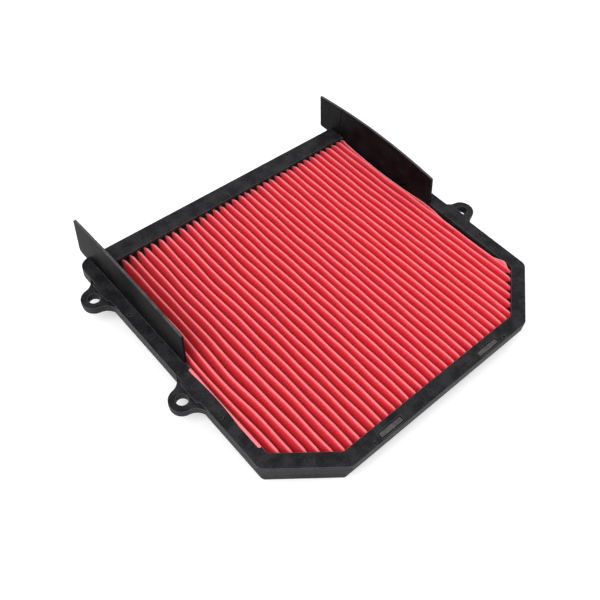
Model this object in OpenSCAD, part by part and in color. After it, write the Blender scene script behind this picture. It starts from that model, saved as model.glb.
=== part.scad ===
// Flat panel air filter: a two-layer moulded frame with four fixing ears holds a
// pleated paper element between two upright guide walls.
// Origin: centre of the four ear holes, on the underside of the ears.
// +X to the right, +Y to the rear rail, +Z up on the dirty side.

/* [Opening] */
// Clear width between the side rails
opening_w = 226; // [180:1:280]
// Clear length between the rear and front rails
opening_l = 202; // [160:1:260]
// Width that each front corner cut takes from the opening
corner_dx = 34.8; // [20:0.2:60]
// Length that each front corner cut takes from the opening
corner_dy = 27.3; // [16:0.1:50]
// From the ear pattern's centre back to the rear edge of the opening
rear_reach = 66; // [50:1:90]

/* [Rails] */
// Width of the side rails
side_rail_w = 9.9; // [8:0.1:16]
// Width of the rear rail
rear_rail_w = 13.7; // [11:0.1:20]
// Width of the front rail
front_rail_w = 10.2; // [9.5:0.1:16]
// Width of the rails along the corner cuts
corner_rail_w = 9.8; // [8.5:0.1:16]
// Outer radius of the rear corners
rear_corner_r = 8; // [3:0.5:12]
// Outer radius of the other corners
front_corner_r = 6; // [3:0.5:12]
// Thickness of the upper frame
plate_t = 2; // [1.5:0.1:3]
// Height of the lower frame's flange
flange_h = 6; // [4.5:0.1:10]
// Depth and height of the parting groove under the upper frame
groove = 0.6; // [0.3:0.1:1]

/* [Ears] */
// Hole spacing across the filter
ear_spacing_x = 259; // [255.8:0.2:320]
// Hole spacing along the filter
ear_spacing_y = 97.5; // [60:0.5:106]
// Hole diameter
ear_hole_d = 8.2; // [5:0.1:9]
// Outer radius of an ear
ear_r = 8.6; // [7:0.1:12]
// Radius of the fillets that run an ear into its rail
ear_fillet_r = 9; // [3:0.5:10]
// How far the upper frame reaches out over an ear
ear_cover = 2; // [0.5:0.1:2.2]
// Length of that cover along the rail
ear_cover_l = 22; // [12:1:24]
// Height of the step round an ear's side
ear_step_h = 2.8; // [1:0.1:3.2]
// Depth of that step
ear_step = 0.4; // [0.2:0.1:0.8]

/* [Guide walls] */
// Thickness of a guide wall at its foot
wall_t = 2.2; // [1.6:0.1:3]
// How far the wall's inner face stands inside the opening
wall_inset = 1; // [0:0.1:1.6]
// Inward lean of the wall from foot to top
wall_lean = 1.4; // [0:0.1:3]
// How much thinner the wall is at its top
wall_draft = 0.2; // [0:0.1:0.6]
// Height above the upper frame at the front end
wall_front_h = 23.4; // [12:0.1:40]
// How far the wall's top edge arches above a straight line
wall_crown = 3; // [0.5:0.1:5]
// Height above the upper frame at the rear tip
wall_tip_h = 23; // [12:0.1:40]
// Length of the wall's foot in front of the opening's rear edge
wall_l = 96; // [40:1:130]
// How far the front edge leans back
wall_rake = 3.3; // [0:0.1:8]
// How far the flap's top stands behind the opening's rear edge
flap_reach = 28.4; // [22:0.1:40]
// How far the flap's rear edge leans back
flap_rake = 2.6; // [0:0.1:6]
// Radius of the front top corner and of the flap's lower corner
wall_corner_r = 2; // [1:0.5:3]
// How far the flap hangs below the frame's top
flap_drop = 4.6; // [1:0.1:7]
// Depth of the flex groove on the inner face
flex_groove = 0.6; // [0.2:0.1:1]

/* [Filter element] */
// Pleat spacing, evened out to fill the element's width
pleat_pitch = 6; // [4.5:0.1:8]
// Height of the pleats
pleat_h = 15; // [8:0.5:30]
// Thickness of the paper
paper_t = 0.5; // [0.3:0.05:0.8]
// Half width of a crest's flat
crest_half = 1.1; // [0.8:0.05:1.4]
// Half width of a valley's flat
valley_half = 0.35; // [0.2:0.05:0.5]

/* [Inside] */
// Thickness of the lower frame's box wall
box_t = 2; // [1.5:0.1:3]
// Set-back of the box wall under the side rails
side_inset = 4.5; // [3.6:0.1:6]
// Set-back of the box wall under the rear rail
rear_inset = 8; // [7.6:0.1:9]
// Set-back of the box wall under the front rail
front_inset = 3.8; // [3.4:0.1:7]
// Set-back of the box wall under the corner rails
corner_inset = 4; // [3.4:0.1:5.6]
// Width of the sealant between paper and box wall
seal_w = 1.3; // [0.8:0.1:1.6]
// Depth of the glue along the paper's long edges
edge_glue_h = 4; // [2:0.5:8]
// Width of the ledge that carries the screen
ledge_w = 6; // [3:0.5:12]
// Height of the ledge and ribs
ledge_h = 4.4; // [2:0.1:7]
// Width of a support rib
rib_w = 4; // [2:0.1:8]
// Number of support ribs across the pleats
cross_ribs = 2; // [1:1:5]
// Thickness of the support screen
screen_t = 1; // [0.6:0.1:2]
// Spacing of the screen's bars
screen_pitch = 18; // [12:1:30]
// Width of the screen's bars
screen_bar = 1.4; // [0.8:0.1:3]
// Gap round the screen
screen_gap = 0.4; // [0.1:0.1:1]
// Height of a spacer bead
bead_h = 1.2; // [0.8:0.1:2]
// Width of a spacer bead
bead_w = 2.2; // [1.5:0.1:4]
// Spacing of the spacer beads
bead_spacing = 62; // [40:1:80]

/* [Gasket] */
// Width of the gasket
gasket_w = 3.2; // [2:0.1:3.4]
// Least lip left outside the gasket channel
channel_lip = 1.2; // [0.8:0.1:1.4]
// Depth of the gasket channel
channel_d = 3.2; // [2:0.1:4]
// How far the gasket stands out of its channel
gasket_proud = 1.5; // [0.5:0.1:3]

/* [Hooks and stakes] */
// Distance of a hook's middle from the centre line
hook_x = 45.3; // [20:0.1:60]
// Length of a hook
hook_l = 18; // [8:0.5:30]
// Width of a hook
hook_w = 3.1; // [2:0.1:4]
// Distance of a hook's middle from the opening's front edge
hook_y = 6.6; // [6.4:0.1:7.4]
// Gap round a hook in its window
hook_gap = 0.8; // [0.1:0.05:0.8]
// How far the hooks stop short of the top face
hook_drop = 0.1; // [0.1:0.1:1.2]
// Diameter of a stake
stake_d = 1.8; // [1:0.1:3]
// Gap round a stake
stake_gap = 0.25; // [0.1:0.05:0.5]
// How far the stakes stop short of the top face
stake_drop = 1.4; // [0.1:0.1:1.4]
// Distance of a drain hole from the centre line
drain_x = 62.6; // [20:0.1:90]
// Diameter of a drain hole
drain_d = 2.2; // [1:0.1:2.4]
// Distance of a drain hole from the rear rail's outer edge
drain_edge = 2.6; // [2:0.1:2.8]
// Distance of the front stakes from the centre line
front_stake_x = 60.4; // [57:0.1:74]
// Distance of a front stake from the rail's outer edge
front_stake_edge = 2.2; // [2:0.1:5]
// Distance of a side stake from the rail's outer edge
side_stake_edge = 3.4; // [2.2:0.1:6]
// Rear side stakes, measured along Y from the origin
side_stake_rear_y = 22; // [-10:1:30]
// Front side stakes, measured along Y from the origin
side_stake_front_y = -74; // [-95:1:-66]

/* [Hidden] */

$fn = 64;
eps = 0.01;
half_w = opening_w / 2;
rear_y = rear_reach;
front_y = rear_reach - opening_l;
frame_top = flange_h + plate_t;
corner_len = norm([corner_dx, corner_dy]);

// Set-outs of each outline from the opening: [side, rear, front, corner cut]
rails = [side_rail_w, rear_rail_w, front_rail_w, corner_rail_w];
insets = [side_inset, rear_inset, front_inset, corner_inset];
box_out = rails - insets;
box_in = box_out - [1, 1, 1, 1] * box_t;
paper_out = box_in - [1, 1, 1, 1] * seal_w;
ledge_in = box_in - [1, 1, 1, 1] * ledge_w;
channel_out = [for (i = [0 : 3]) min(box_out[i] + gasket_w, rails[i] - channel_lip)];

paper_top = flange_h;
paper_bottom = paper_top - pleat_h;
screen_top = paper_bottom - bead_h;
screen_bottom = screen_top - screen_t;
box_bottom = screen_bottom - ledge_h;
channel_top = channel_d;
paper_half_w = half_w + paper_out[0];
folds_each_side = round((paper_half_w - crest_half) / pleat_pitch);
pitch = (paper_half_w - crest_half) / folds_each_side;
wall_rise = max(wall_front_h, wall_tip_h) + wall_crown;
flex_clear = 0.5;
opening_r = 3;
box_r = 4;
screen_r = 1.5;
ledge_r = 1;
arc_steps = 8;
crown_steps = 16;
spare = 1;
dark = "#26282a";

// Corner points of the opening moved out by o = [side, rear, front, corner cut]
function outline(o) =
    let (x = half_w + o[0],
         y_rear = rear_y + o[1],
         y_front = front_y - o[2],
         x_cut = half_w - corner_dx + (o[3] * corner_len - o[2] * corner_dx) / corner_dy,
         y_cut = front_y + ((corner_dx + o[0]) * corner_dy - o[3] * corner_len) / corner_dx)
    [[x, y_rear], [-x, y_rear], [-x, y_cut], [-x_cut, y_front], [x_cut, y_front], [x, y_cut]];

function unit(v) = v / norm(v);

// Points along an arc, both ends included
function arc(centre, r, from, to, steps) =
    [for (i = [0 : steps])
        let (angle = from + (to - from) * i / steps)
        centre + r * [cos(angle), sin(angle)]];

// The corner at b, between its neighbours a and c, rounded to radius r
function round_corner(a, b, c, r) =
    let (to_a = unit(a - b),
         to_c = unit(c - b),
         half_turn = acos(to_a * to_c) / 2,
         centre = b + unit(to_a + to_c) * r / sin(half_turn),
         start = b + to_a * r / tan(half_turn) - centre,
         from = atan2(start[1], start[0]),
         side = sign(cross(b - a, c - b)))
    arc(centre, r, from, from + side * (180 - 2 * half_turn), arc_steps);

// Outline with one radius for each corner
module rounded(pts, radii) {
    n = len(pts);
    polygon([for (i = [0 : n - 1])
             each round_corner(pts[(i + n - 1) % n], pts[i], pts[(i + 1) % n], radii[i])]);
}

module rail_outline(o) {
    rounded(outline(o), [rear_corner_r, rear_corner_r, front_corner_r,
                         front_corner_r, front_corner_r, front_corner_r]);
}

module box_outline(o, r = box_r) {
    rounded(outline(o), [for (i = [0 : 5]) r]);
}

// Solid between two heights over a flat outline
module slab(z0, z1) {
    translate([0, 0, z0]) linear_extrude(z1 - z0) children();
}

module both_sides() {
    children();
    mirror([1, 0, 0]) children();
}

module at_ears() {
    both_sides()
        for (s = [-1, 1])
            translate([ear_spacing_x / 2, s * ear_spacing_y / 2]) children();
}

// One ear and its fillets, reaching in over the rail; the ear's hole is at the origin
module ear_outline(r) {
    rail_x = half_w + side_rail_w - ear_spacing_x / 2;
    root_x = rail_x - channel_lip;
    fillet_x = rail_x + ear_fillet_r;
    fillet_y = sqrt(pow(ear_r + ear_fillet_r, 2) - pow(fillet_x, 2));
    fillet_r = ear_fillet_r + ear_r - r;
    meet = atan2(fillet_y, fillet_x);
    round_steps = 3 * arc_steps;
    ear_arc = arc([0, 0], r, -meet, meet, round_steps);
    polygon(concat(
        [[root_x, -fillet_y]],
        arc([fillet_x, -fillet_y], fillet_r, 180, 180 - meet, arc_steps),
        [for (i = [1 : round_steps - 1]) ear_arc[i]],
        arc([fillet_x, fillet_y], fillet_r, 180 + meet, 180, arc_steps),
        [[root_x, fillet_y]]));
}

// The upper frame's reach over an ear, with sloping ends
module ear_cover_outline() {
    rail_x = half_w + side_rail_w - ear_spacing_x / 2;
    root_x = rail_x - channel_lip;
    end_y = ear_cover_l / 2;
    face_y = end_y - ear_cover - channel_lip;
    polygon([[root_x, -end_y], [rail_x + ear_cover, -face_y],
             [rail_x + ear_cover, face_y], [root_x, end_y]]);
}

module hook_places() {
    both_sides() translate([hook_x, front_y - hook_y]) children();
}

// Drain holes through both layers of the rear rail
module drain_places() {
    both_sides()
        translate([drain_x, rear_y + rear_rail_w - drain_edge]) children();
}

module stake_places() {
    side_x = half_w + side_rail_w - side_stake_edge;
    both_sides() {
        translate([front_stake_x, front_y - front_rail_w + front_stake_edge]) children();
        translate([side_x, side_stake_rear_y]) children();
        translate([side_x, side_stake_front_y]) children();
    }
}

// Footprint of the guide walls in the upper frame
module wall_slots() {
    both_sides()
        translate([half_w - wall_inset, rear_y - wall_l])
            square([wall_t, wall_l + opening_r]);
}

module upper_frame() {
    color(dark)
        slab(flange_h, frame_top)
            difference() {
                union() {
                    rail_outline(rails);
                    at_ears() ear_cover_outline();
                }
                box_outline([0, 0, 0, 0], opening_r);
                wall_slots();
                hook_places()
                    square([hook_l + 2 * hook_gap, hook_w + 2 * hook_gap], center = true);
                stake_places() circle(d = stake_d + 2 * stake_gap);
                drain_places() circle(d = drain_d);
                at_ears() circle(d = ear_hole_d);
            }
}

module support_ribs() {
    span = opening_l + paper_out[1] + paper_out[2];
    for (i = [1 : cross_ribs])
        translate([0, front_y - paper_out[2] + span * i / (cross_ribs + 1)])
            square([opening_w + 2 * box_in[0] + box_t, rib_w], center = true);
}

module lower_frame() {
    color(dark) difference() {
        union() {
            slab(0, flange_h - groove) rail_outline(rails);
            slab(flange_h - groove - eps, flange_h)
                rail_outline(rails - [1, 1, 1, 1] * groove);
            slab(box_bottom, eps) box_outline(box_out);
            slab(0, ear_step_h) at_ears() ear_outline(ear_r - ear_step);
            slab(ear_step_h - eps, flange_h) at_ears() ear_outline(ear_r);
            slab(flange_h - eps, frame_top - hook_drop)
                hook_places() square([hook_l, hook_w], center = true);
            slab(flange_h - eps, frame_top - stake_drop)
                stake_places() circle(d = stake_d);
        }
        slab(screen_bottom, frame_top) box_outline(box_in, box_r - box_t);
        slab(box_bottom - eps, screen_bottom + eps)
            difference() {
                box_outline(ledge_in, ledge_r);
                support_ribs();
            }
        slab(-eps, channel_top)
            difference() {
                box_outline(channel_out);
                box_outline(box_out);
            }
        slab(-eps, frame_top) {
            at_ears() circle(d = ear_hole_d);
            drain_places() circle(d = drain_d);
        }
    }
}

module sealing_gasket() {
    color("#3a3d40")
        slab(-gasket_proud, channel_top)
            difference() {
                box_outline(channel_out);
                box_outline(box_out);
            }
}

// Side view of a wall: x is along the filter, y is up
module wall_profile() {
    foot = [rear_y - wall_l, frame_top];
    front = [rear_y - wall_l + wall_rake, frame_top + wall_front_h];
    tip = [rear_y + flap_reach, frame_top + wall_tip_h];
    crown = [for (i = [1 : crown_steps - 1])
        let (t = i / crown_steps)
        front + t * (tip - front) + [0, 4 * wall_crown * t * (1 - t)]];
    heel = [rear_y + flap_reach - flap_rake, frame_top - flap_drop];
    rail_back = [rear_y + rear_rail_w, frame_top - flap_drop];
    polygon([[rear_y - wall_l, flange_h], foot,
             each round_corner(foot, front, crown[0], wall_corner_r),
             each crown,
             tip,
             each round_corner(tip, heel, rail_back, wall_corner_r),
             rail_back, [rear_y + rear_rail_w, frame_top],
             [rear_y + opening_r, frame_top],
             [rear_y + opening_r, flange_h]]);
}

// End view of a wall: x is across the filter, y is up
module wall_section() {
    inner = half_w - wall_inset;
    top = frame_top + wall_rise + spare;
    polygon([[inner, 0], [inner + wall_t, 0], [inner + wall_t, frame_top],
             [inner + wall_t - wall_lean - wall_draft, top], [inner - wall_lean, top],
             [inner, frame_top]]);
}

module guide_wall() {
    inner = half_w - wall_inset;
    color(dark) difference() {
        intersection() {
            translate([inner - wall_lean - spare, 0, 0]) rotate([90, 0, 90])
                linear_extrude(wall_lean + wall_t + 2 * spare) wall_profile();
            translate([0, rear_y + flap_reach + spare, 0]) rotate([90, 0, 0])
                linear_extrude(wall_l + flap_reach + 2 * spare) wall_section();
        }
        // flex groove where the flap begins, following the wall's lean
        translate([inner, rear_y + opening_r + flex_clear, frame_top])
            rotate([0, -atan(wall_lean / (wall_rise + spare)), 0])
                linear_extrude(2 * wall_rise)
                    rotate(45) square(flex_groove * sqrt(2), center = true);
    }
}

module right_guide_wall() { guide_wall(); }

module left_guide_wall() { mirror([1, 0, 0]) guide_wall(); }

// One fold as seen from the front: over the crest at x, down and through the next valley
function fold_top(x) = [
    [x - crest_half, paper_top],
    [x + crest_half, paper_top],
    [x + pitch / 2 - valley_half, paper_bottom + paper_t],
    [x + pitch / 2 + valley_half, paper_bottom + paper_t]];

function fold_under(x) = [
    [x + pitch / 2 + valley_half + paper_t, paper_bottom],
    [x + pitch / 2 - valley_half - paper_t, paper_bottom],
    [x + crest_half - paper_t, paper_top - paper_t],
    [x - crest_half + paper_t, paper_top - paper_t]];

// All the folds; both ends stop at a crest and run past the cut edges
module pleat_section() {
    last = folds_each_side * pitch;
    past = paper_half_w + spare;
    starts = [for (i = [-folds_each_side : folds_each_side - 1]) i * pitch];
    backwards = [for (i = [len(starts) - 1 : -1 : 0]) starts[i]];
    polygon(concat(
        [[-past, paper_top]],
        [for (x = starts) each fold_top(x)],
        [[last - crest_half, paper_top], [past, paper_top],
         [past, paper_top - paper_t],
         [last - crest_half + paper_t, paper_top - paper_t]],
        [for (x = backwards) each fold_under(x)],
        [[-past, paper_top - paper_t]]));
}

module pleated_element() {
    color("#c8283a") intersection() {
        translate([0, rear_y + paper_out[1], 0]) rotate([90, 0, 0])
            linear_extrude(opening_l + paper_out[1] + paper_out[2]) pleat_section();
        slab(paper_bottom - spare, paper_top + spare) polygon(outline(paper_out));
    }
}

// Gap between the paper's cut edge and the box wall
module seal_ring() {
    difference() {
        box_outline(box_in, box_r - box_t);
        polygon(outline(paper_out));
    }
}

paper_corner_y = outline(paper_out)[5][1];

module rear_end_seal() {
    color("#1d1d1f")
        slab(paper_bottom, paper_top)
            intersection() {
                seal_ring();
                translate([-opening_w, rear_y + paper_out[1]])
                    square([2 * opening_w, box_in[1]]);
            }
}

module front_end_seal() {
    color("#1d1d1f")
        slab(paper_bottom, paper_top)
            intersection() {
                seal_ring();
                translate([-opening_w, paper_corner_y - 2 * opening_l])
                    square([2 * opening_w, 2 * opening_l]);
            }
}

module edge_glue(side) {
    color("#1d1d1f")
        slab(paper_top - edge_glue_h, paper_top)
            intersection() {
                seal_ring();
                translate([side > 0 ? 0 : -opening_w, paper_corner_y])
                    square([opening_w, rear_y + paper_out[1] - paper_corner_y]);
            }
}

module left_edge_glue() { edge_glue(-1); }

module right_edge_glue() { edge_glue(1); }

// Bead across the folds on the clean side; place is -1, 0 or 1 along the filter
module spacer_bead(place) {
    middle_y = (rear_y + front_y) / 2;
    color("#d8c9a0")
        slab(screen_top, paper_bottom)
            translate([0, middle_y + place * bead_spacing])
                square([opening_w - pleat_pitch, bead_w], center = true);
}

module spacer_bead_rear() { spacer_bead(1); }

module spacer_bead_middle() { spacer_bead(0); }

module spacer_bead_front() { spacer_bead(-1); }

module support_screen() {
    edge = box_in - [1, 1, 1, 1] * screen_gap;
    inner = edge - [1, 1, 1, 1] * (2 * screen_bar);
    hole = screen_pitch - screen_bar;
    nx = floor(half_w / screen_pitch);
    ny = ceil(opening_l / 2 / screen_pitch);
    middle_y = (rear_y + front_y) / 2;
    color("#a8abae")
        slab(screen_bottom, screen_top)
            difference() {
                box_outline(edge, screen_r);
                intersection() {
                    polygon(outline(inner));
                    for (i = [-nx - 1 : nx], j = [-ny : ny - 1])
                        translate([(i + 0.5) * screen_pitch, middle_y + (j + 0.5) * screen_pitch])
                            square(hole, center = true);
                }
            }
}

upper_frame();
lower_frame();
left_guide_wall();
right_guide_wall();
pleated_element();
rear_end_seal();
front_end_seal();
left_edge_glue();
right_edge_glue();
spacer_bead_rear();
spacer_bead_middle();
spacer_bead_front();
support_screen();
sealing_gasket();
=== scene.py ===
import math

import bmesh
import bpy
import numpy as np
from mathutils import Matrix, Vector


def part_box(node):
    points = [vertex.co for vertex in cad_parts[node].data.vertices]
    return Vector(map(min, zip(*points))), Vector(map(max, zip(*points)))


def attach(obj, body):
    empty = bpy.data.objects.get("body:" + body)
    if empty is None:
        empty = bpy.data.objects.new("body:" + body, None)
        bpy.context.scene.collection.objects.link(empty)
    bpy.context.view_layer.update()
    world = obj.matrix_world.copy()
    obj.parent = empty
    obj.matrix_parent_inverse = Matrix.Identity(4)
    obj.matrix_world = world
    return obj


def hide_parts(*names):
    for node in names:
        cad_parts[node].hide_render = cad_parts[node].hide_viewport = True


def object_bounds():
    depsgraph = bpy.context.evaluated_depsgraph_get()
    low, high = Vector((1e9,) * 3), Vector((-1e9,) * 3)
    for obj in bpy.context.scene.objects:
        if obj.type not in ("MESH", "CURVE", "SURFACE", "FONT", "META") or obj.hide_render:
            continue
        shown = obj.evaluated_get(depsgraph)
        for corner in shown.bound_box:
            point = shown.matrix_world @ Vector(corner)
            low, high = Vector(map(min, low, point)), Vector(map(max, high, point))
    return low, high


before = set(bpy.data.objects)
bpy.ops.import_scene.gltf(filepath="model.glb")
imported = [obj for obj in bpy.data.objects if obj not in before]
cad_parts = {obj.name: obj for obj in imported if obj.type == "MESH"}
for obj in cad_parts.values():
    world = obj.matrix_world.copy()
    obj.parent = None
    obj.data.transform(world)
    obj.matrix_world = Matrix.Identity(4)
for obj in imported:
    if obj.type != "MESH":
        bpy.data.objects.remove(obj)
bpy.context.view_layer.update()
mm = 0.001


def addObject(name, data):
    made = bpy.data.objects.new(name, data)
    bpy.context.scene.collection.objects.link(made)
    return made


def smoothShaded(mesh):
    mesh.polygons.foreach_set("use_smooth", np.ones(len(mesh.polygons), dtype=bool))


def meshFromGrid(name, points, closed=False):
    # points is an array (rows, columns, 3): each cell of the grid becomes one face, and closed
    # joins the last column to the first
    rows, columns = points.shape[:2]
    index = np.arange(rows * columns).reshape(rows, columns)
    if closed:
        index = np.concatenate([index, index[:, :1]], axis=1)
    faces = np.stack([index[:-1, :-1], index[:-1, 1:], index[1:, 1:], index[1:, :-1]], axis=-1)
    mesh = bpy.data.meshes.new(name)
    mesh.from_pydata(points.reshape(-1, 3).tolist(), [], faces.reshape(-1, 4).tolist())
    smoothShaded(mesh)
    mesh.update()
    return mesh


def declare(piece, node):
    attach(piece, "root")
    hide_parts(node)


class Wire:
    # one shader socket; arithmetic on it adds Math nodes to its tree
    def __init__(self, tree, socket=None):
        self.tree = tree
        self.socket = socket

    def node(self, kind, settings=None, inputs=None, output=0):
        # settings come first, then each socket takes a value or the wire that feeds it
        made = self.tree.nodes.new(kind)
        for key, value in (settings or {}).items():
            setattr(made, key, value)
        for key, value in (inputs or {}).items():
            if isinstance(value, Wire):
                self.tree.links.new(value.socket, made.inputs[key])
            else:
                made.inputs[key].default_value = value
        return Wire(self.tree, made.outputs[output])

    def maths(self, operation, *values):
        return self.node("ShaderNodeMath", {"operation": operation}, dict(enumerate(values)))

    def __add__(self, other):
        return self.maths("ADD", self, other)

    def __sub__(self, other):
        return self.maths("SUBTRACT", self, other)

    def __rsub__(self, other):
        return self.maths("SUBTRACT", other, self)

    def __mul__(self, other):
        return self.maths("MULTIPLY", self, other)

    __radd__ = __add__
    __rmul__ = __mul__

    def clamped(self):
        return self.maths("MAXIMUM", self.maths("MINIMUM", self, 1.0), 0.0)

    def swing(self, amount):
        # a noise lies about 0.5: its distance from there, times amount
        return (self - 0.5) * amount

    def between(self, low, high):
        # 0 below low, 1 above high, eased in between
        return self.node("ShaderNodeMapRange", {"interpolation_type": "SMOOTHSTEP"},
                         {"Value": self, "From Min": low, "From Max": high})

    def mixed(self, first, second):
        # self is the factor between two colours
        return self.node("ShaderNodeMix", {"data_type": "RGBA"},
                         {"Factor": self, 6: first, 7: second}, output=2)


def newMaterial(name, **fixed):
    # a principled material whose unchanging values sit on its own sockets
    material = bpy.data.materials.new(name)
    material.use_nodes = True
    tree = material.node_tree
    shader = tree.nodes["Principled BSDF"]
    for key, value in fixed.items():
        shader.inputs[key].default_value = value
    return material, shader, Wire(tree)


def feed(shader, **wires):
    for key, wire in wires.items():
        wire.tree.links.new(wire.socket, shader.inputs[key.replace("_", " ")])


def placed(wire, scale=(1.0, 1.0, 1.0)):
    # object coordinates in millimetres, stretched by scale
    where = wire.node("ShaderNodeTexCoord", output=3)
    return wire.node("ShaderNodeVectorMath", {"operation": "MULTIPLY"},
                     {0: where, 1: tuple(1000.0 * s for s in scale)})


def noise(wire, where, size, detail=3.0, roughness=0.5):
    # size is how many millimetres one blotch takes
    return wire.node("ShaderNodeTexNoise", None, {
        "Vector": where, "Scale": 1.0 / size, "Detail": detail, "Roughness": roughness})


def bump(wire, height, distance, strength, under=None):
    # distance in metres; under is the bump that this one lies on
    inputs = {"Height": height, "Distance": distance, "Strength": strength}
    if under is not None:
        inputs["Normal"] = under
    return wire.node("ShaderNodeBump", None, inputs)


# what all the moulded plastics share; sizes in millimetres, bands are the noise values that show
moulding = {
    "ior": 1.48, "cloudDetail": 4.0, "patchBand": (0.32, 0.68),
    "grainDetail": 2.0, "grainHarsh": 0.6, "grainRough": 0.12, "grainStrength": 0.6,
    "dustDetail": 1.0, "dustBand": (0.66, 0.80),
    "scuffStretch": (1.0, 0.12, 1.0), "scuff": 1.1, "scuffDetail": 2.0, "scuffBand": (0.62, 0.78),
    "scuffShow": 0.25, "scuffRough": 0.06,
    "fleck": 1.6, "fleckDetail": 4.0, "fleckHarsh": 0.7, "fleckShow": 0.7,
    # the edge keys below shape a patchy painted highlight along rounded edges
    "bevelSamples": 4, "edgeHighlightBand": (0.01, 0.20), "edgeHighlightLeast": 0.35, "edgeHighlightFleck": 0.9,
    "wave": 22.0, "waveDetail": 1.0, "waveStrength": 0.5,
}


def mouldedPlastic(name, look):
    # cloudy patches under dust and long scuffs, with a patchy painted highlight along the rounded
    # edges
    shared = moulding
    material, shader, wire = newMaterial(
        name, **{"IOR": shared["ior"], "Specular IOR Level": look["shine"]})
    where = placed(wire)
    cloud = noise(wire, where, look["cloud"], shared["cloudDetail"])
    grain = noise(wire, where, look["grain"], shared["grainDetail"], shared["grainHarsh"])
    dust = noise(wire, where, look["dust"], shared["dustDetail"])
    dust = dust.between(*shared["dustBand"]) * look["dustAmount"]
    scuffs = noise(wire, placed(wire, shared["scuffStretch"]), shared["scuff"],
                   shared["scuffDetail"]).between(*shared["scuffBand"])
    fleck = noise(wire, where, shared["fleck"], shared["fleckDetail"], shared["fleckHarsh"])
    patch = (cloud + fleck.swing(shared["fleckShow"])).between(*shared["patchBand"])
    colour = patch.mixed(look["dark"], look["light"])
    colour = (dust + scuffs * shared["scuffShow"]).mixed(colour, look["dustColour"])
    # a patchy painted highlight along the edges: there the rounded-over normal turns away from the
    # face's own
    soft = wire.node("ShaderNodeBevel", {"samples": shared["bevelSamples"]},
                     {"Radius": look["edgeHighlightWidth"]})
    plain = wire.node("ShaderNodeNewGeometry", output=3)
    turned = 1.0 - wire.node("ShaderNodeVectorMath", {"operation": "DOT_PRODUCT"},
                             {0: soft, 1: plain}, output=1)
    edgeHighlight = turned.between(*shared["edgeHighlightBand"]) \
        * (shared["edgeHighlightLeast"] + fleck * shared["edgeHighlightFleck"]) * look["edgeHighlightAmount"]
    colour = edgeHighlight.clamped().mixed(colour, look["edgeHighlightColour"])
    rough = look["rough"] + cloud.swing(look["roughSpread"]) \
        + grain.swing(shared["grainRough"]) - scuffs * shared["scuffRough"]
    fine = bump(wire, grain, look["grainDepth"], shared["grainStrength"])
    wave = bump(wire, noise(wire, where, shared["wave"], shared["waveDetail"]),
                look["waveDepth"], shared["waveStrength"], fine)
    feed(shader, Base_Color=colour, Roughness=rough, Normal=wave)
    return material


framePlastic = mouldedPlastic("framePlastic", {
    "dark": (0.0088, 0.0080, 0.0094, 1), "light": (0.0245, 0.0232, 0.0255, 1), "cloud": 9.0,
    "grain": 0.55, "grainDepth": 0.00007, "dust": 0.8, "dustAmount": 0.30,
    "dustColour": (0.075, 0.075, 0.075, 1), "rough": 0.50, "roughSpread": 0.25,
    "waveDepth": 0.0005, "shine": 0.10,
    "edgeHighlightAmount": 1.0, "edgeHighlightWidth": 0.0006, "edgeHighlightColour": (0.150, 0.146, 0.151, 1)})

# a darker copy of the frame plastic: painted shade for the guide walls, whose side faces get less
# light
shadedWallPlastic = mouldedPlastic("shadedWallPlastic", {
    "dark": (0.0034, 0.0031, 0.0036, 1), "light": (0.0100, 0.0094, 0.0104, 1), "cloud": 16.0,
    "grain": 0.7, "grainDepth": 0.00004, "dust": 0.9, "dustAmount": 0.15,
    "dustColour": (0.060, 0.060, 0.060, 1), "rough": 0.50, "roughSpread": 0.20,
    "waveDepth": 0.0006, "shine": 0.06,
    "edgeHighlightAmount": 0.7, "edgeHighlightWidth": 0.0005, "edgeHighlightColour": (0.080, 0.078, 0.080, 1)})

# a lighter copy of the frame plastic: painted highlight for upward tops that catch the light
litTopPlastic = mouldedPlastic("litTopPlastic", {
    "dark": (0.040, 0.036, 0.039, 1), "light": (0.080, 0.072, 0.077, 1), "cloud": 5.0,
    "grain": 0.5, "grainDepth": 0.00005, "dust": 0.8, "dustAmount": 0.30,
    "dustColour": (0.12, 0.12, 0.12, 1), "rough": 0.42, "roughSpread": 0.25,
    "waveDepth": 0.0003, "shine": 0.25,
    "edgeHighlightAmount": 0.4, "edgeHighlightWidth": 0.0003, "edgeHighlightColour": (0.14, 0.14, 0.14, 1)})


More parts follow.
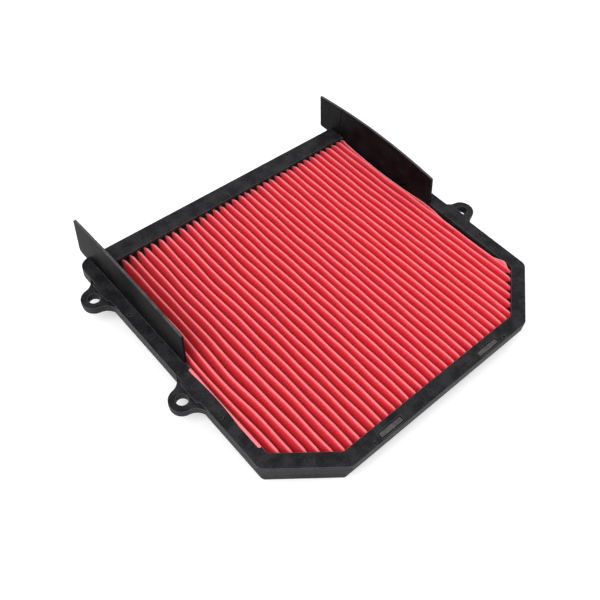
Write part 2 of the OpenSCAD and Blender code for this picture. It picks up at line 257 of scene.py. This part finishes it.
def filterPaper():
    # oiled red paper: fibres, blotches of oil, a painted highlight on the crests over painted shade
    # down the folds' sides, black where sealant wets it near the cut ends, with painted shadow
    # under the rails there too
    look = {
        # deep, middle and crest: painted shade down in the folds, rising to a painted highlight on
        # the crests
        "deep": (0.68, 0.0070, 0.019, 1), "middle": (0.80, 0.034, 0.058, 1),
        "crest": (0.94, 0.190, 0.220, 1), "bare": (0.92, 0.22, 0.24, 1),
        "sealantAndShadowColour": (0.012, 0.011, 0.011, 1),
        "blotch": 5.0, "blotchDetail": 3.0, "blotchStretch": (1.0, 0.35, 1.0),
        "fibre": 0.5, "fibreDetail": 3.0, "fibreHarsh": 0.7, "fibreStretch": (1.0, 0.45, 1.0),
        "crepe": 1.3, "crepeDetail": 2.0, "crepeHarsh": 0.6, "crepeStretch": (0.25, 1.0, 0.25),
        "paleFibre": 0.80, "paleBlotch": 0.30, "crestBand": (0.50, 0.95), "middleBand": (0.0, 0.6),
        "dryFibre": 0.6, "dryBlotch": 0.5, "dryBand": (0.35, 0.9),
        "blackFibre": 0.3, "blackBlotch": 0.4, "blackBand": (0.42, 0.58),
        "rough": 0.62, "roughBlotch": 0.25, "roughFibre": 0.2, "roughWet": 0.2,
        "fibreHeight": 0.6, "crepeHeight": 0.8, "depth": 0.00012, "strength": 0.8,
    }
    material, shader, wire = newMaterial("filterPaper", **{
        "IOR": 1.42, "Specular IOR Level": 0.30, "Sheen Weight": 0.12, "Sheen Roughness": 0.6,
        "Sheen Tint": (1.0, 0.75, 0.75, 1)})
    paintedFoldLight, bareness, sealantAndShadow = (
        wire.node("ShaderNodeAttribute", {"attribute_name": key}, output=2)
        for key in ("paintedFoldLight", "bareness", "sealantAndShadow"))
    blotch = noise(wire, placed(wire, look["blotchStretch"]), look["blotch"], look["blotchDetail"])
    fibre = noise(wire, placed(wire, look["fibreStretch"]), look["fibre"], look["fibreDetail"],
                  look["fibreHarsh"])
    crepe = noise(wire, placed(wire, look["crepeStretch"]), look["crepe"], look["crepeDetail"],
                  look["crepeHarsh"])
    # painted highlight on the crests over painted shade down the folds' sides
    paintedLight = (paintedFoldLight + fibre.swing(look["paleFibre"]) + blotch.swing(look["paleBlotch"])).clamped()
    sides = paintedLight.between(*look["middleBand"]).mixed(look["deep"], look["middle"])
    colour = paintedLight.between(*look["crestBand"]).mixed(sides, look["crest"])
    dry = bareness + fibre.swing(look["dryFibre"]) + blotch.swing(look["dryBlotch"])
    colour = dry.between(*look["dryBand"]).mixed(colour, look["bare"])
    # black near the cut ends: sealant soaking in, and painted shadow under the rails
    sealedShadowed = sealantAndShadow + fibre.swing(look["blackFibre"]) + blotch.swing(look["blackBlotch"])
    sealedShadowed = sealedShadowed.between(*look["blackBand"])
    colour = sealedShadowed.mixed(colour, look["sealantAndShadowColour"])
    rough = look["rough"] + blotch.swing(look["roughBlotch"]) \
        + fibre.swing(look["roughFibre"]) - sealedShadowed * look["roughWet"]
    height = fibre * look["fibreHeight"] + crepe * look["crepeHeight"]
    feed(shader, Base_Color=colour, Roughness=rough,
         Normal=bump(wire, height, look["depth"], look["strength"]))
    return material


def castSealant():
    look = {"dark": (0.012, 0.012, 0.013, 1), "light": (0.03, 0.03, 0.032, 1), "cloud": 4.0,
            "rough": 0.45, "roughSpread": 0.3, "lump": 1.6, "lumpDepth": 0.0002, "strength": 0.5}
    material, shader, wire = newMaterial("castSealant", **{"IOR": 1.5})
    where = placed(wire)
    cloud = noise(wire, where, look["cloud"])
    lumps = noise(wire, where, look["lump"])
    feed(shader, Base_Color=cloud.mixed(look["dark"], look["light"]),
         Roughness=look["rough"] + cloud.swing(look["roughSpread"]),
         Normal=bump(wire, lumps, look["lumpDepth"], look["strength"]))
    return material


def hotGlue():
    look = {"dark": (0.50, 0.38, 0.20, 1), "light": (0.68, 0.56, 0.36, 1), "cloud": 3.0,
            "rough": 0.35, "roughSpread": 0.3, "lump": 0.9, "lumpDepth": 0.0001, "strength": 0.6}
    material, shader, wire = newMaterial("hotGlue", **{
        "IOR": 1.49, "Subsurface Weight": 0.15, "Subsurface Scale": 0.002})
    where = placed(wire)
    cloud = noise(wire, where, look["cloud"])
    lumps = noise(wire, where, look["lump"])
    feed(shader, Base_Color=cloud.mixed(look["dark"], look["light"]),
         Roughness=look["rough"] + cloud.swing(look["roughSpread"]),
         Normal=bump(wire, lumps, look["lumpDepth"], look["strength"]))
    return material


def wireMetal():
    look = {"dark": (0.42, 0.43, 0.44, 1), "light": (0.62, 0.63, 0.64, 1), "cloud": 6.0,
            "rough": 0.38, "roughSpread": 0.3, "fine": 0.4, "fineDetail": 2.0, "fineRough": 0.1,
            "fineDepth": 0.00002, "strength": 0.5}
    material, shader, wire = newMaterial("wireMetal", **{"Metallic": 1.0})
    where = placed(wire)
    cloud = noise(wire, where, look["cloud"])
    fine = noise(wire, where, look["fine"], look["fineDetail"])
    feed(shader, Base_Color=cloud.mixed(look["dark"], look["light"]),
         Roughness=look["rough"] + cloud.swing(look["roughSpread"]) + fine.swing(look["fineRough"]),
         Normal=bump(wire, fine, look["fineDepth"], look["strength"]))
    return material


def gasketFoam():
    look = {"dark": (0.018, 0.018, 0.019, 1), "light": (0.04, 0.04, 0.042, 1), "cloud": 7.0,
            "cloudDetail": 2.0, "rough": 0.85, "roughSpread": 0.2,
            "cellsPerMm": 2.2, "cellDepth": 0.00025, "strength": 0.8}
    material, shader, wire = newMaterial("gasketFoam", **{"IOR": 1.45})
    where = placed(wire)
    cells = wire.node("ShaderNodeTexVoronoi", None,
                      {"Vector": where, "Scale": look["cellsPerMm"]})
    cloud = noise(wire, where, look["cloud"], look["cloudDetail"])
    feed(shader, Base_Color=cloud.mixed(look["dark"], look["light"]),
         Roughness=look["rough"] + cloud.swing(look["roughSpread"]),
         Normal=bump(wire, cells, look["cellDepth"], look["strength"]))
    return material


paperRed = filterPaper()
sealantBlack = castSealant()
glueAmber = hotGlue()
screenWire = wireMetal()
foamBlack = gasketFoam()
print("finishes ready")


# how a CAD copy is cleaned and shaded: millimetres and degrees
cleaning = {"weld": 0.002, "flat": 0.4, "upward": 0.7, "sharp": 32,
            "weight": 100, "threshold": 10.0}


def roundedCopy(node, name, material, look, litTopMaterial=None):
    # a copy of a CAD node with its doubled points merged, flat faces joined and edges rounded over
    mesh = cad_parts[node].data.copy()
    mesh.name = name
    work = bmesh.new()
    work.from_mesh(mesh)
    bmesh.ops.remove_doubles(work, verts=work.verts, dist=cleaning["weld"] * mm)
    bmesh.ops.dissolve_limit(work, angle_limit=math.radians(cleaning["flat"]),
                             verts=work.verts, edges=work.edges)
    work.normal_update()
    for face in work.faces:
        # upward faces high up take the lighter copy of the finish: a painted highlight on those
        # tops
        paintedLight = (litTopMaterial is not None and face.normal.z > cleaning["upward"]
                and face.calc_center_median().z > look["litAbove"] * mm)
        face.material_index = int(paintedLight)
    mesh.materials.clear()
    mesh.materials.append(material)
    if litTopMaterial is not None:
        mesh.materials.append(litTopMaterial)
    work.to_mesh(mesh)
    work.free()
    smoothShaded(mesh)
    piece = addObject(name, mesh)
    bevel = piece.modifiers.new("rounding", "BEVEL")
    bevel.width = look["rounding"] * mm
    bevel.segments = look["segments"]
    bevel.limit_method = "ANGLE"
    bevel.angle_limit = math.radians(cleaning["sharp"])
    bevel.use_clamp_overlap = look["clamped"]
    flatten = piece.modifiers.new("flatten", "WEIGHTED_NORMAL")
    flatten.weight = cleaning["weight"]
    flatten.thresh = cleaning["threshold"]
    declare(piece, node)
    return piece


def bowOut(wall, bow):
    # the wall's upper part swells sideways: x plus bow times the sine of half a turn along its
    # length times the share of its height above the frame
    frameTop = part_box("upper_frame")[1][2]
    count = len(wall.data.vertices)
    where = np.empty(count * 3)
    wall.data.vertices.foreach_get("co", where)
    where = where.reshape(count, 3)
    low, high = where.min(axis=0), where.max(axis=0)
    alongWall = (where[:, 1] - low[1]) / (high[1] - low[1])
    upWall = np.clip((where[:, 2] - frameTop) / (high[2] - frameTop), 0, 1)
    where[:, 0] += bow * mm * np.sin(np.pi * alongWall) * upWall
    wall.data.vertices.foreach_set("co", where.ravel())
    wall.data.update()


# roundings, heights and bows in millimetres
rim = {"rounding": 0.30, "segments": 3, "clamped": True}
roundedCopy("upper_frame", "upperRim", framePlastic, rim)

tray = {"rounding": 0.26, "segments": 3, "clamped": True, "litAbove": 7.5}
# the hooks' upward tops take the lighter copy of the plastic, a painted highlight
roundedCopy("lower_frame", "lowerTray", framePlastic, tray, litTopPlastic)

walls = {"rounding": 0.30, "segments": 3, "clamped": False, "litAbove": 20.0,
         "bowRight": 1.2, "bowLeft": -0.4}
# the walls take the darker copy of the plastic, painted shade, and their upward tops the lighter
# copy, a painted highlight
leftWall = roundedCopy("left_guide_wall", "leftWall", shadedWallPlastic, walls,
                       litTopPlastic)
rightWall = roundedCopy("right_guide_wall", "rightWall", shadedWallPlastic, walls,
                        litTopPlastic)
bowOut(rightWall, walls["bowRight"])
bowOut(leftWall, walls["bowLeft"])

gasket = {"rounding": 0.5, "segments": 2, "clamped": True}
roundedCopy("sealing_gasket", "gasketRing", foamBlack, gasket)
print("frame, walls and gasket ready")


# lengths in millimetres, the bend in degrees
paper = {
    "folds": 39, "pitch": 6.0, "thickness": 0.45, "margin": 0.05,
    "crestRound": 0.88, "valleyRound": 0.45, "bend": 78,
    "crestSteps": 5, "valleySteps": 4, "sideSteps": 6,
    "apron": (0.4, 1.0, 1.6),           # flat strips past the outermost crests
    "rows": 54, "crowding": 0.135,      # rows along a fold, closer together towards its ends
    # how fold lines stray
    "drift": 2.4, "driftSpread": 0.014, "driftStart": 10.0, "driftLength": 135.0,
    "driftPower": 0.8,
    "squeeze": 1.9, "squeezeAt": (-104.0, -52.0), "squeezeSize": (20.0, 28.0),
    "lean": 0.8, "leanAt": (-60.0, 15.0), "leanSize": (35.0, 28.0),
    "wobble": 0.16, "wobbleWaves": ((0.083, 2.1), (0.147, 4.7)),
    "offset": 0.35, "heldAt": 115.0, "heldWithin": 7.0,
    # the folds' tops and ends
    "crestWobble": 0.35, "crestWave": (0.061, 1.7),
    "dip": 1.5, "dipLength": 3.8, "hidden": 2.2, "cutCorner": (79.0, -109.0),
    # the outer edges; the five values of a list go with the last crest and its strips
    "edgeFrom": 112.6, "edge": 110.9, "edgeRipple": (0.12, 0.5),
    "edgeHumps": ((1.9, 70, 10), (-1.1, 22, 24), (1.5, -27, 14), (-0.9, -50, 7), (1.9, -101, 8)),
    "rightOut": (-0.9, 0.0, 0.35, 0.6, 1.2), "rightDrop": (0, -0.1, -1.0, -3.0, -6.0),
    "rightLap": (0.6, 2.3, 2.5, 2.45, 2.3), "cornerLap": (-103, 6),
    "leftOut": (112.0, 112.4, 113.0, 113.5, 115.0), "leftLap": (0, 0.4, 2.15, 2.45, 2.25),
    "lapFrom": -30.4, "lapRise": 2.5, "lapTo": -108.5, "lapFall": 4.0,
    # sealant with painted shadow under the rails, painted light on the folds, and bare paper
    "blackening": 1.0, "blackeningCorner": 1.72, "blackeningReach": 5.0, "blackeningValley": 0.4, "blackeningCrest": 0.3,
    "blackeningSharp": 8, "sinkWithin": 0.5, "lapDry": 2,
    "foldLightReach": 6.5, "foldLightPower": 1.5, "crestLightTop": 1.2, "crestLightFade": 0.45,
    "sideLightShare": 0.72, "bare": 0.7, "bareFrom": 112.8, "bareTop": 1.0,
}
lastCrest = (paper["folds"] - 1) / 2 * paper["pitch"]


def hump(value, middle, size):
    # a smooth bump: e to the power of minus the square of the distance from middle over size
    return np.exp(-((value - middle) / size) ** 2)


def foldSection(look, depth):
    # one fold from its crest to the next: an arc over the crest, a straight side, an arc through
    # the valley and the same back; returns x from 0 to 1 pitch and how far down it is
    r, v = look["crestRound"], look["valleyRound"]
    half = look["pitch"] / 2
    turn = np.linspace(0.0, 1.0, look["crestSteps"])[:-1] * math.radians(look["bend"])
    crestX = r * np.sin(turn)
    crestDown = r * (1 - np.cos(turn))
    back = np.linspace(1.0, 0.0, look["valleySteps"]) * math.radians(look["bend"])
    valleyX = half - v * np.sin(back)
    valleyDown = depth - v * (1 - np.cos(back))
    sideShare = np.linspace(0.0, 1.0, look["sideSteps"])[1:-1]
    sideX = crestX[-1] + (valleyX[0] - crestX[-1]) * sideShare
    sideDown = crestDown[-1] + (valleyDown[0] - crestDown[-1]) * sideShare
    x = np.concatenate([crestX, sideX, valleyX])
    down = np.concatenate([crestDown, sideDown, valleyDown])
    x = np.concatenate([x, (look["pitch"] - x[::-1])[1:-1]])
    down = np.concatenate([down, down[::-1][1:-1]])
    return x, down


def acrossFolds(look, depth):
    # the sheet's whole section: one fold after another, each a pitch further on, and flat strips
    # beyond the outermost crests, out to the glued edges
    x, down = foldSection(look, depth)
    gaps = look["folds"] - 1
    flat = np.array(look["apron"])
    folds = np.concatenate([x - lastCrest + k * look["pitch"] for k in range(gaps)])
    return (np.concatenate([-lastCrest - flat[::-1], folds, [lastCrest], lastCrest + flat]),
            np.concatenate([0 * flat, np.tile(down, gaps), [0.0], 0 * flat]))


def foldShift(look, x, y):
    # how far a fold line strays sideways: a drift to the right towards the front, less a squeeze to
    # the left beside the left wall and a lean in the rear left part, each a hump in x times one in
    # y, plus two sine waves that start elsewhere on each fold; it fades out at the held edges
    ahead = np.clip((look["driftStart"] - y) / look["driftLength"], 0, 1) ** look["driftPower"]
    shift = (look["drift"] + look["driftSpread"] * x) * ahead
    for key in ("squeeze", "lean"):
        (atX, atY), (sizeX, sizeY) = look[key + "At"], look[key + "Size"]
        shift = shift - look[key] * hump(x, atX, sizeX) * hump(y, atY, sizeY)
    fold = np.round(x / look["pitch"])
    shift = shift + look["wobble"] * sum(
        np.sin(rate * y + step * fold) for rate, step in look["wobbleWaves"])
    room = np.clip((look["heldAt"] - np.abs(x)) / look["heldWithin"], 0, 1)
    return (shift + look["offset"]) * room


def lappedEdges(look, x, y, moved, z):
    # the right edge wanders by a sum of humps and a ripple, drops into the sealant, and laps over
    # the rail at the corner cut; the left edge laps over the rail in front of the wall
    past = np.abs(x)
    steps = [lastCrest - 1.0, lastCrest, *(lastCrest + strip for strip in look["apron"])]
    edge = look["edge"]
    for size, middle, reach in look["edgeHumps"]:
        edge = edge + size * hump(y, middle, reach)
    height, rate = look["edgeRipple"]
    edge = edge + height * np.sin(rate * y)
    atRight, atLeft = x > look["edgeFrom"], x < -look["edgeFrom"]
    moved = np.where(atRight, edge + np.interp(past, steps, look["rightOut"]), moved)
    moved = np.where(atLeft, -np.interp(past, steps, look["leftOut"]), moved)
    corner = hump(y, *look["cornerLap"])
    z = z + np.where(atRight, np.interp(past, steps, look["rightDrop"]) * (1 - corner)
                     + np.interp(past, steps, look["rightLap"]) * corner, 0)
    lap = np.clip((look["lapFrom"] - y) / look["lapRise"], 0, 1) \
        * np.clip((y - look["lapTo"]) / look["lapFall"], 0, 1)
    z = z + np.where(atLeft, np.interp(past, steps, look["leftLap"]) * lap, 0)
    return moved, z


def paperMarks(look, x, y, down, depth, toEnd, crestShare):
    # the painted fold light (highlight on the crests, shade down the sides) falls off down the
    # fold's side, bareness rises towards the outer edges, and the black of sealant and painted
    # shadow falls off with the distance from a cut end, less on the crests and most at the right
    # corner
    past = np.abs(x)
    atRight = x > look["edgeFrom"]
    corner = hump(y, *look["cornerLap"])
    blackening = np.where((y <= 0) & (x > look["cutCorner"][0]), look["blackeningCorner"], look["blackening"])
    sunk = atRight * np.clip((past - lastCrest) / look["sinkWithin"], 0, 1) \
        * (1 - np.clip(corner * look["lapDry"], 0, 1))
    # painted light: strongest on the crest tops, less down the sides
    crestLightShape = np.where(down < look["crestLightTop"], 1 - look["crestLightFade"] * down, look["sideLightShare"])
    # near the cut ends: sealant and painted shadow under the rails, darker down in the valleys
    ends = np.clip(blackening - toEnd / look["blackeningReach"] + look["blackeningValley"] * (down / depth)
                   - (blackening - look["blackeningCrest"]) * crestShare ** look["blackeningSharp"], 0, 1)
    return {
        "paintedFoldLight": np.clip(1 - down / look["foldLightReach"], 0, 1) ** look["foldLightPower"] * crestLightShape,
        "bareness": look["bare"] * np.clip(past - look["bareFrom"], 0, 1) * (1 - sunk)
                    * (down < look["bareTop"]),
        "sealantAndShadow": np.maximum(sunk, ends * (1 - corner * atRight)),
    }


def pleatedSheet(look):
    # a grid of points: across, the folds' section; along, lines from the front edge, cut back at
    # the corners, to the rear edge, whose rows crowd towards both ends, where the crests dip
    low, high = (np.array(corner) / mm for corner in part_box("pleated_element"))
    depth = high[2] - low[2] - look["thickness"]
    acrossX, acrossDown = acrossFolds(look, depth)
    cornerX, cornerY = look["cutCorner"]
    slope = (cornerY - low[1]) / (high[0] - cornerX)
    frontY = low[1] + np.clip(np.minimum(np.abs(acrossX), high[0]) - cornerX, 0, None) * slope
    share = np.linspace(0.0, 1.0, look["rows"])
    along = (share - look["crowding"] * np.sin(2 * np.pi * share))[:, None]
    y = frontY[None, :] + along * (high[1] - frontY)[None, :]
    x = np.broadcast_to(acrossX, y.shape)
    down = np.broadcast_to(acrossDown, y.shape)
    square = np.where(np.abs(acrossX) > cornerX, 1 / math.hypot(1, slope), 1.0)
    toEnd = np.minimum((y - frontY) * square, high[1] - y)      # distance to the nearer cut edge
    inward = np.clip(toEnd - look["hidden"], 0, None)
    dip = look["dip"] * np.clip(1 - inward / look["dipLength"], 0, 1) ** 2
    crestShare = np.clip(1 - down / depth, 0, 1)
    rate, step = look["crestWave"]
    wave = look["crestWobble"] * (
        0.5 + 0.5 * np.sin(rate * y + step * np.round(x / look["pitch"])))
    z = high[2] - look["margin"] - down - (dip + wave) * crestShare
    moved, z = lappedEdges(look, x, y, x + foldShift(look, x, y), z)
    moved = np.clip(moved, low[0] + look["margin"], high[0] - look["margin"])
    mesh = meshFromGrid("pleatedPaper", np.stack([moved, y, z], axis=-1) * mm)
    marks = paperMarks(look, x, y, down, depth, toEnd, crestShare)
    for name, values in marks.items():
        attribute = mesh.attributes.new(name, "FLOAT", "POINT")
        attribute.data.foreach_set(
            "value", np.ascontiguousarray(values, dtype=np.float32).ravel())
    return mesh


paperMesh = pleatedSheet(paper)
paperMesh.materials.append(paperRed)
pleatedPaper = addObject("pleatedPaper", paperMesh)
thickness = pleatedPaper.modifiers.new("thickness", "SOLIDIFY")
thickness.thickness = paper["thickness"] * mm
thickness.offset = -1.0
declare(pleatedPaper, "pleated_element")
print("paper ready:", len(paperMesh.polygons), "faces")


# lengths in millimetres; each bead has the phase at which its swelling starts
glue = {
    "rings": 440, "around": 14, "margin": 0.05, "closing": 1.2, "swell": 0.16,
    "slowSwell": 0.05, "slowRate": 0.31, "width": 0.94, "height": 0.96,
    "heightSteady": 0.72, "heightSwell": 0.28, "wander": 0.06, "wanderRate": 0.5,
    "phases": {"spacer_bead_rear": 0.4, "spacer_bead_middle": 1.9, "spacer_bead_front": 3.3},
}


def closeEnds(mesh, rings, around):
    # fills the first and last ring of a swept tube and turns every face outward
    work = bmesh.new()
    work.from_mesh(mesh)
    work.verts.ensure_lookup_table()
    for ring in (0, rings - 1):
        work.faces.new([work.verts[ring * around + k] for k in range(around)])
    bmesh.ops.recalc_face_normals(work, faces=work.faces)
    work.to_mesh(mesh)
    work.free()


def glueBead(look, node, phase):
    # a hardened bead: an ellipse swept along X, swelling over each fold it crosses:
    # (x, middle + a(x) cos v, height + b(x) sin v), a and b waving once a fold
    low, high = (np.array(corner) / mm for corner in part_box(node))
    x = np.linspace(low[0] + look["margin"], high[0] - look["margin"], look["rings"])[:, None]
    v = np.linspace(0.0, 2 * np.pi, look["around"], endpoint=False)[None, :]
    nearEnd = np.minimum(x - low[0], high[0] - x)
    closing = np.sqrt(np.clip(nearEnd / look["closing"], 0.0, 1.0))
    wave = 1 - look["swell"] * (1 + np.sin(2 * np.pi * x / paper["pitch"] + phase)) \
        - look["slowSwell"] * np.sin(look["slowRate"] * x + phase)
    half = (high - low) / 2
    middle = (low + high) / 2
    tall = look["heightSteady"] + look["heightSwell"] * wave
    y = middle[1] + look["width"] * half[1] * closing * wave * np.cos(v) \
        + look["wander"] * np.sin(look["wanderRate"] * x)
    z = middle[2] + look["height"] * half[2] * closing * tall * np.sin(v)
    points = np.stack([np.broadcast_to(x, y.shape), y, z], axis=-1)
    mesh = meshFromGrid(node + "Glue", points * mm, closed=True)
    closeEnds(mesh, look["rings"], look["around"])
    mesh.materials.append(glueAmber)
    declare(addObject(node + "Glue", mesh), node)


for bead, phase in glue["phases"].items():
    glueBead(glue, bead, phase)

screen = {"rounding": 0.22, "segments": 2, "clamped": True}
roundedCopy("support_screen", "screenSheet", screenWire, screen)
print("glue beads and screen ready")

# nodes that show only in slits keep their own shapes and take a finish
for node in ("rear_end_seal", "front_end_seal", "left_edge_glue", "right_edge_glue"):
    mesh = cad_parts[node].data
    mesh.materials.clear()
    mesh.materials.append(sealantBlack)
print("carried-over nodes ready")


# places and sizes in metres, powers in watts
studio = {
    "white": (1.0, 1.0, 1.0, 1), "worldStrength": 0.90,
    "horizon": (0.55, 0.55, 0.55, 1), "skyBand": (0.0, 0.75), "target": (0.0, -0.03, 0.0),
    "keyPower": 11.5, "keySize": 1.0, "keyPlace": (-0.80, -0.35, 1.25),
    "fillPower": 1.0, "fillSize": 1.0, "fillPlace": (0.8, 0.6, 0.9),
    "floorReach": 4, "floorGap": 0.0002, "floorGlow": 0.30, "floorRough": 0.9,
    "floorBlotch": 60.0, "floorDark": (0.85, 0.85, 0.85, 1), "floorLight": (0.87, 0.87, 0.87, 1),
}


def areaLight(name, place, size, power):
    light = bpy.data.lights.new(name, "AREA")
    light.shape = "DISK"
    light.size = size
    light.energy = power
    lamp = addObject(name, light)
    lamp.location = place
    towards = Vector(studio["target"]) - Vector(place)
    lamp.rotation_euler = towards.to_track_quat("-Z", "Y").to_euler()


areaLight("keyLight", studio["keyPlace"], studio["keySize"], studio["keyPower"])
areaLight("fillLight", studio["fillPlace"], studio["fillSize"], studio["fillPower"])

world = bpy.data.worlds.new("studioWorld")
bpy.context.scene.world = world
world.use_nodes = True
background = world.node_tree.nodes["Background"]
background.inputs["Strength"].default_value = studio["worldStrength"]
# the dome is bright overhead and dimmer towards the horizon
skyWire = Wire(world.node_tree)
skyHeight = skyWire.node("ShaderNodeSeparateXYZ", None, {
    "Vector": skyWire.node("ShaderNodeTexCoord")}, output=2)
skyColour = skyHeight.between(*studio["skyBand"]).mixed(studio["horizon"], studio["white"])
world.node_tree.links.new(skyColour.socket, background.inputs["Color"])

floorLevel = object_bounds()[0][2] - studio["floorGap"]
floorReach = studio["floorReach"]
floorPoints = np.array([[[side, end, floorLevel] for side in (-floorReach, floorReach)]
                        for end in (-floorReach, floorReach)])
floorMesh = meshFromGrid("floor", floorPoints)
floorPaint, floorShader, floorWire = newMaterial("floorPaint", **{
    "Roughness": studio["floorRough"], "Emission Color": studio["white"],
    "Emission Strength": studio["floorGlow"]})
floorBlotch = noise(floorWire, placed(floorWire), studio["floorBlotch"])
feed(floorShader, Base_Color=floorBlotch.mixed(studio["floorDark"], studio["floorLight"]))
floorMesh.materials.append(floorPaint)
floor = addObject("floor", floorMesh)

# place in metres, angles in degrees, lens and sensor in millimetres
view = {"place": (-0.24104, -0.24088, 0.39264), "turn": 46.710, "down": 52.361, "roll": -6.628,
        "lens": 43.634, "sensor": 36.0, "near": 0.01}


def aimedCamera(look):
    # looks along turn degrees from +Y towards +X and down degrees below level, then rolls
    turn, down, roll = (math.radians(look[k]) for k in ("turn", "down", "roll"))
    ahead = Vector((math.sin(turn) * math.cos(down), math.cos(turn) * math.cos(down),
                    -math.sin(down)))
    right = Vector((math.cos(turn), -math.sin(turn), 0.0))
    below = ahead.cross(right)
    right, below = (right * math.cos(roll) + below * math.sin(roll),
                    below * math.cos(roll) - right * math.sin(roll))
    data = bpy.data.cameras.new("camera")
    data.lens = look["lens"]
    data.sensor_width = look["sensor"]
    data.clip_start = look["near"]
    camera = addObject("camera", data)
    camera.matrix_world = Matrix.Translation(look["place"]) @ Matrix(
        (right, -below, -ahead)).transposed().to_4x4()
    return camera


bpy.context.scene.camera = aimedCamera(view)
bpy.context.scene.view_settings.view_transform = "Standard"
print("studio and camera ready")
